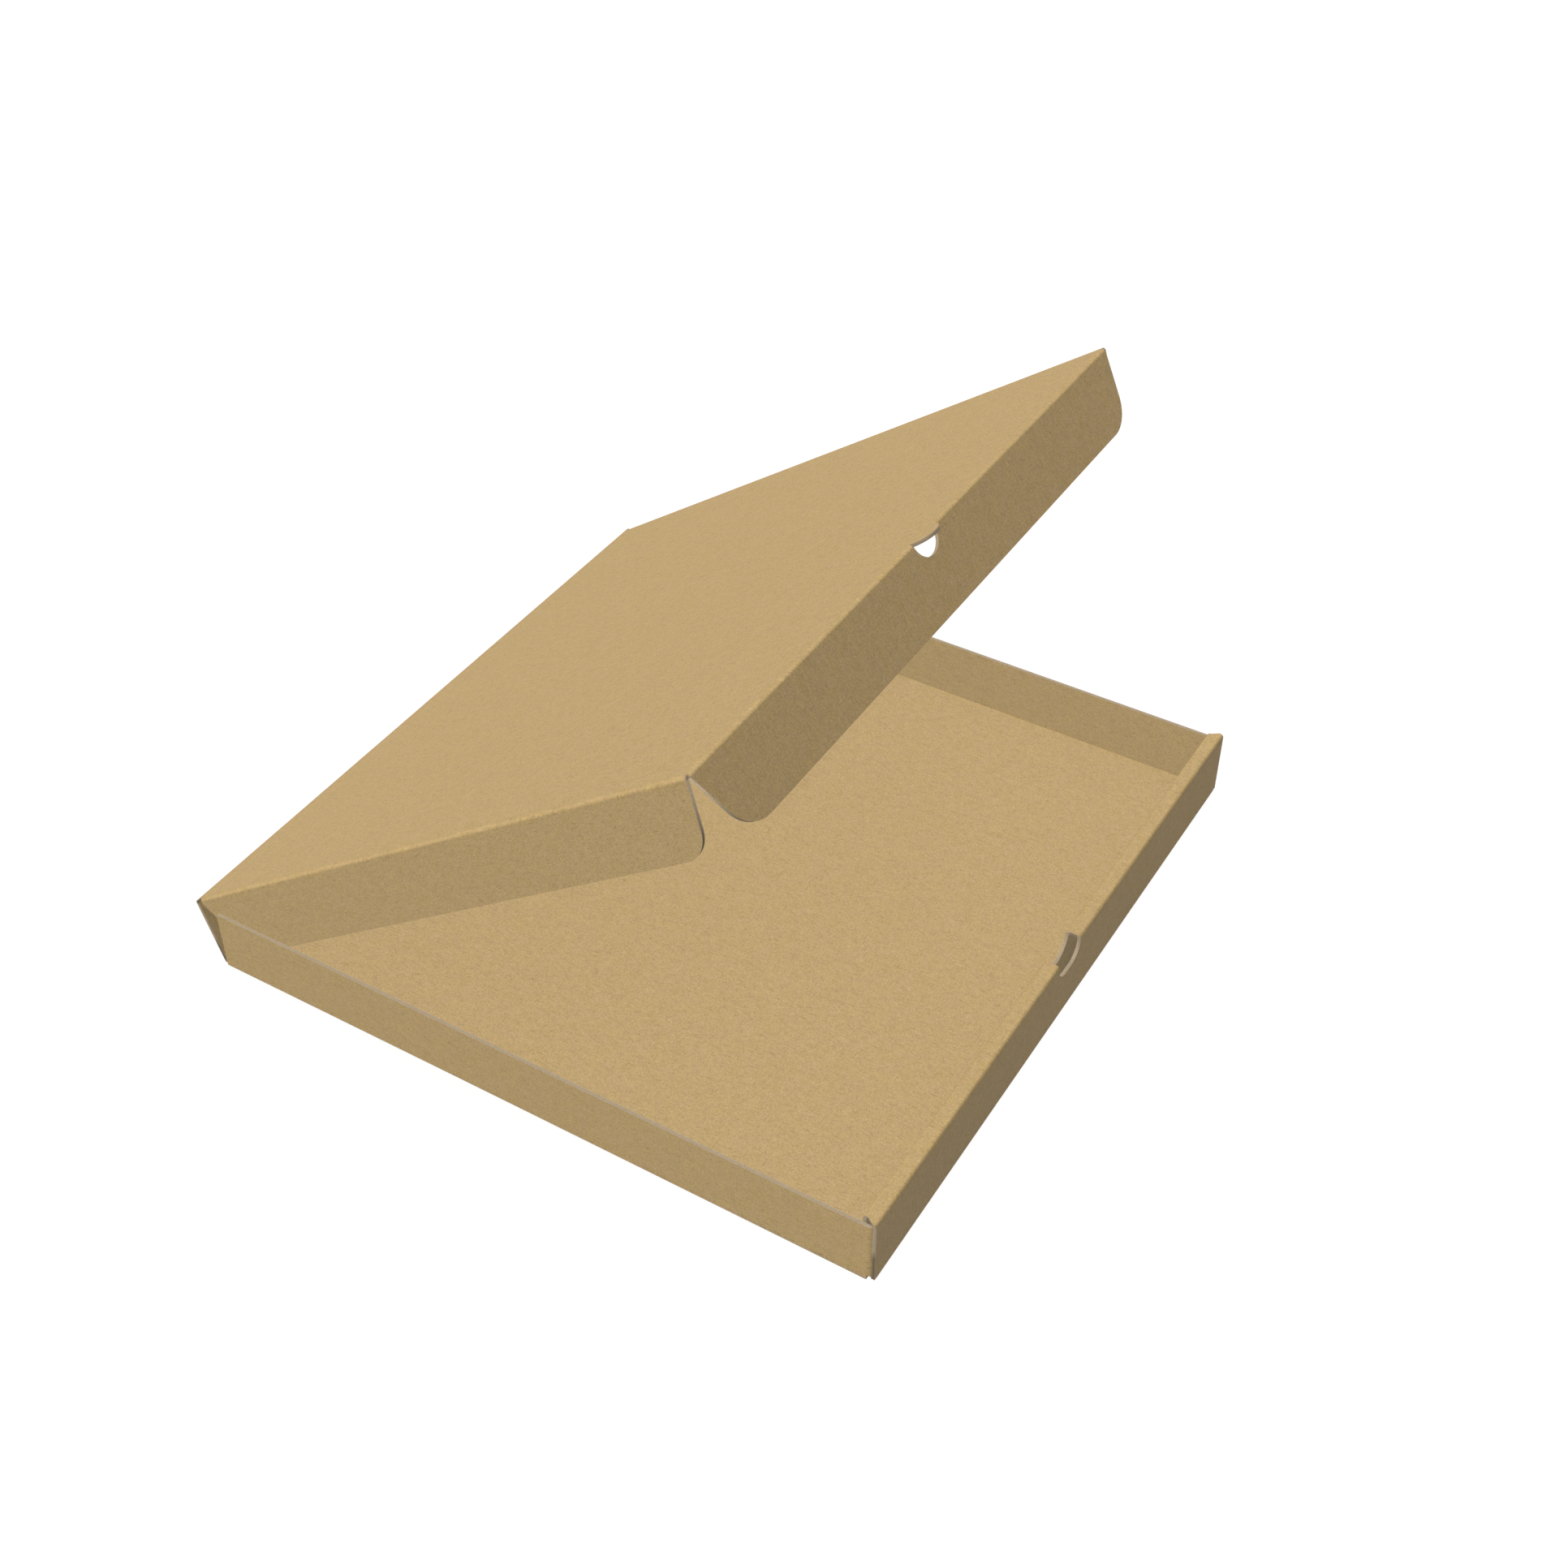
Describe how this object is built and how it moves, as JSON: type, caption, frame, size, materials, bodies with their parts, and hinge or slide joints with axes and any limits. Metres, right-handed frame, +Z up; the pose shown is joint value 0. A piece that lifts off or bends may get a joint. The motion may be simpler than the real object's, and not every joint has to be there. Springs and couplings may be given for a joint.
{
  "type": "pizza box",
  "caption": "Shallow square box folded from a die-cut corrugated sheet, with its hinged, flapped lid standing open and a thumb notch in its double front wall.",
  "frame": {"origin": "centre of the closed box's footprint, on the underside of the base", "axes": "+Z up, the double front wall with its thumb notch at -Y, the lid's creases at +Y and along X"},
  "size_m": [0.4, 0.4057, 0.2671],
  "materials": {
    "kraft_board": "plain brown kraft corrugated board, matt, bare of print"
  },
  "bodies": {
    "tray": {"tray": "kraft_board"},
    "back_wall": {"back_wall": "kraft_board"},
    "lid": {"lid": "kraft_board"}
  },
  "joints": [
    {"name": "back_wall_fold", "type": "hinge", "parent": "tray", "child": "back_wall", "pos_m": [0, 0.195, 0.0023], "axis": [-1, 0, 0], "range_deg": [-17.3, 72.7]},
    {"name": "lid_fold", "type": "hinge", "parent": "back_wall", "child": "lid", "pos_m": [0, 0.20612, 0.03801], "axis": [-1, 0, 0], "range_deg": [-18.4, 71.6]}
  ]
}
